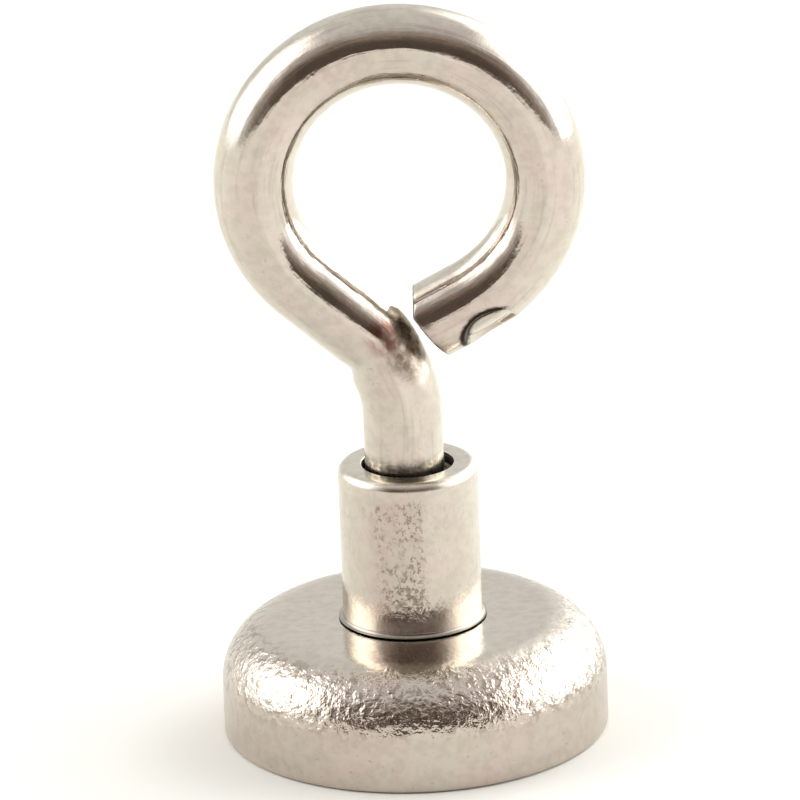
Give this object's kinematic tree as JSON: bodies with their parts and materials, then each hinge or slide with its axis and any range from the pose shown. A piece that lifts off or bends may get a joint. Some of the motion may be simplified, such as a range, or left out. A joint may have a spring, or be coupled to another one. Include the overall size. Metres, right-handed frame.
{
  "type": "pot magnet with screw-in eye",
  "caption": "Small nickel-plated pot magnet for magnet fishing: a neodymium disc in a steel cup, a threaded sleeve on its roof, and a bent wire eye screwed into the sleeve.",
  "frame": {"origin": "centre of the cup's rim plane, on the axis of the cup, the sleeve and the thread", "axes": "+Z along the axis from the magnet's working face to the eye, +X in the plane of the eye towards its cropped end, and +Y through the eye's opening"},
  "size_m": [0.02, 0.02, 0.0391],
  "materials": {
    "cup_plating": "bright warm nickel plate over steel, slightly grained",
    "sleeve_plating": "bright warm nickel plate over turned steel",
    "magnet_plating": "nickel plate over sintered neodymium",
    "bond_adhesive": "cured adhesive",
    "epoxy": "cured black resin",
    "thread_plating": "nickel plate over a cut thread",
    "eye_plating": "bright warm nickel plate over drawn wire"
  },
  "bodies": {
    "magnet_base": {"pot_cup": "cup_plating", "threaded_sleeve": "sleeve_plating", "magnet_disc": "magnet_plating", "bond_film": "bond_adhesive", "epoxy_ring": "epoxy"},
    "eye_stud": {"threaded_stud": "thread_plating"},
    "eye": {"eye_loop": "eye_plating"}
  },
  "joints": [
    {"name": "eye_lift", "type": "slide", "parent": "magnet_base", "child": "eye_stud", "axis": [0, 0, 1], "range_m": [0, 0.0063]},
    {"name": "eye_turn", "type": "hinge", "parent": "eye_stud", "child": "eye", "pos_m": [0, 0, 0.01393], "axis": [0, 0, 1], "range_deg": [0, 3240]}
  ],
  "couplings": [
    {"joint": "eye_lift", "follows": "eye_turn", "m_per_rad": 0.00011141}
  ]
}
